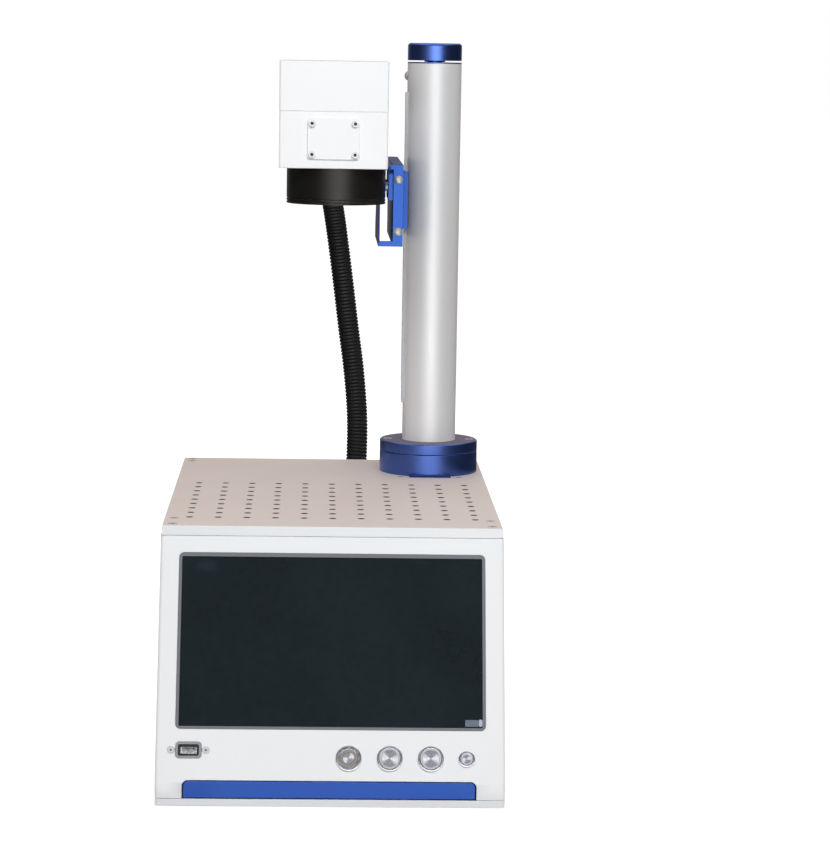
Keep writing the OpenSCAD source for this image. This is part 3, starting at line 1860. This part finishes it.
// Elbow's bent path as a pipe of one diameter, reaching on into the cabinet and over the mouth
module elbow_pipe(d, into, over) {
  bend_y = elbow_y - elbow_bend_r;
  bend_z = elbow_axis_z + elbow_bend_r;
  translate([elbow_x, y_back - into, elbow_axis_z])
    to_back()
      cylinder(h = bend_y - y_back + into, d = d);
  translate([elbow_x, bend_y, bend_z])
    rotate([0, 90, 0])
      rotate_extrude(angle = 90)
        translate([elbow_bend_r, 0])
          circle(d = d);
  translate([elbow_x, elbow_y, bend_z])
    cylinder(h = elbow_mouth_z - bend_z + over, d = d);
}

module hose_elbow() {
  color("black")
    difference() {
      union() {
        elbow_pipe(elbow_d, 0, 0);
        translate([elbow_x, y_back, elbow_axis_z])
          to_back()
            cylinder(h = elbow_nut_t, d = elbow_nut_d, $fn = 6);
        translate([elbow_x, y_back - elbow_thread_l, elbow_axis_z])
          to_back()
            cylinder(h = elbow_thread_l, d = elbow_thread_d);
      }
      elbow_pipe(hose_bore, elbow_thread_l + cut, cut);
    }
}

// Tangent of the hose's curve at each of its turning points
function hose_tangent(i) =
  let (last = len(hose_turns) - 1)
  i == 0 ? (hose_turns[0] - hose_start) / norm(hose_turns[0] - hose_start) * norm(hose_turns[1] - hose_turns[0]) :
  i == last ? (hose_end - hose_turns[last]) / norm(hose_end - hose_turns[last])
    * norm(hose_turns[last] - hose_turns[last - 1]) :
  (hose_turns[i + 1] - hose_turns[i - 1]) / 2;

// Point on the smooth curve between turning point i and the next
function hose_curve(i, t) =
  hose_turns[i] * (2 * pow(t, 3) - 3 * pow(t, 2) + 1)
  + hose_tangent(i) * (pow(t, 3) - 2 * pow(t, 2) + t)
  + hose_turns[i + 1] * (3 * pow(t, 2) - 2 * pow(t, 3))
  + hose_tangent(i + 1) * (pow(t, 3) - pow(t, 2));

// Even steps along one stretch of the hose, half a rib pitch each
function hose_steps(length) = max(1, round(length / (rib_pitch / 2)));

function straight_points(from, to) =
  let (n = hose_steps(norm(to - from)))
  [for (k = [0:n - 1]) from + (to - from) * k / n];

function curve_points(i) =
  let (n = hose_steps(norm(hose_turns[i + 1] - hose_turns[i])))
  [for (k = [0:n - 1]) hose_curve(i, k / n)];

// Eight points round the hose's line at one place, square to its direction
function hose_ring(points, i, r) =
  let (
    last = len(points) - 1,
    ahead = points[min(i + 1, last)] - points[max(i - 1, 0)],
    along = ahead / norm(ahead),
    side = cross(along, cross([1, 0, 0], along)),
    u = side / norm(side),
    v = cross(along, u)
  )
  [for (k = [0:hose_sides - 1])
    points[i] + r * (cos((k + 0.5) * 360 / hose_sides) * u + sin((k + 0.5) * 360 / hose_sides) * v)];

// Two triangles for each side between ring a and ring b of a point list
function band(a, b) = [
  for (k = [0:hose_sides - 1])
    let (n = (k + 1) % hose_sides)
    for (face = [
      [a * hose_sides + k, b * hose_sides + k, a * hose_sides + n],
      [a * hose_sides + n, b * hose_sides + k, b * hose_sides + n],
    ])
      face
];

module umbilical_hose() {
  last_turn = len(hose_turns) - 1;
  line = [
    each straight_points(hose_start, hose_turns[0]),
    for (i = [0:last_turn - 1]) each curve_points(i),
    each straight_points(hose_turns[last_turn], hose_end),
    hose_end,
  ];
  last = len(line) - 1;
  bore_at = [for (i = [0:bore_step:last - bore_step / 2]) i, last];
  outer = [for (i = [0:last]) each hose_ring(line, i, hose_d / 2 - (i % 2) * rib_depth)];
  inner = [for (i = [0:len(bore_at) - 1]) each hose_ring(line, bore_at[len(bore_at) - 1 - i], hose_bore / 2)];
  rings = last + 1 + len(bore_at);
  faces = [for (i = [0:rings - 1]) each band(i, (i + 1) % rings)];
  color("black")
    polyhedron(points = concat(outer, inner), faces = faces);
}

base_pan();
rubber_feet();
body_shell();
work_plate();
cabinet_screws();
rear_panel();
screen_bezel();
screen_glass();
display_module();
button_housings();
button_cap_1();
button_cap_2();
button_cap_3();
button_cap_4();
usb_frame();
usb_shell();
drawer_front();
drawer_tray();
rails_fixed();
rails_moving();
chassis_shelf();
laser_source();
power_supply();
mini_pc();
control_card();
fan_frame();
fan_rotor();
mains_inlet();
power_rocker();
column_tube();
flange_lower();
flange_upper();
column_base();
slot_liner();
column_foot();
screw_bearings();
column_cap();
lead_screw();
height_knob();
lift_nut();
saddle();
arm_beam();
arm_end_plate();
head_bracket();
lens_guard();
lift_screws();
head_base();
head_cover();
head_front_plate();
galvo_mount();
galvo_motors();
galvo_x();
galvo_y();
beam_isolator();
lens_barrel();
lens_glass();
head_gland();
umbilical_hose();
hose_elbow();
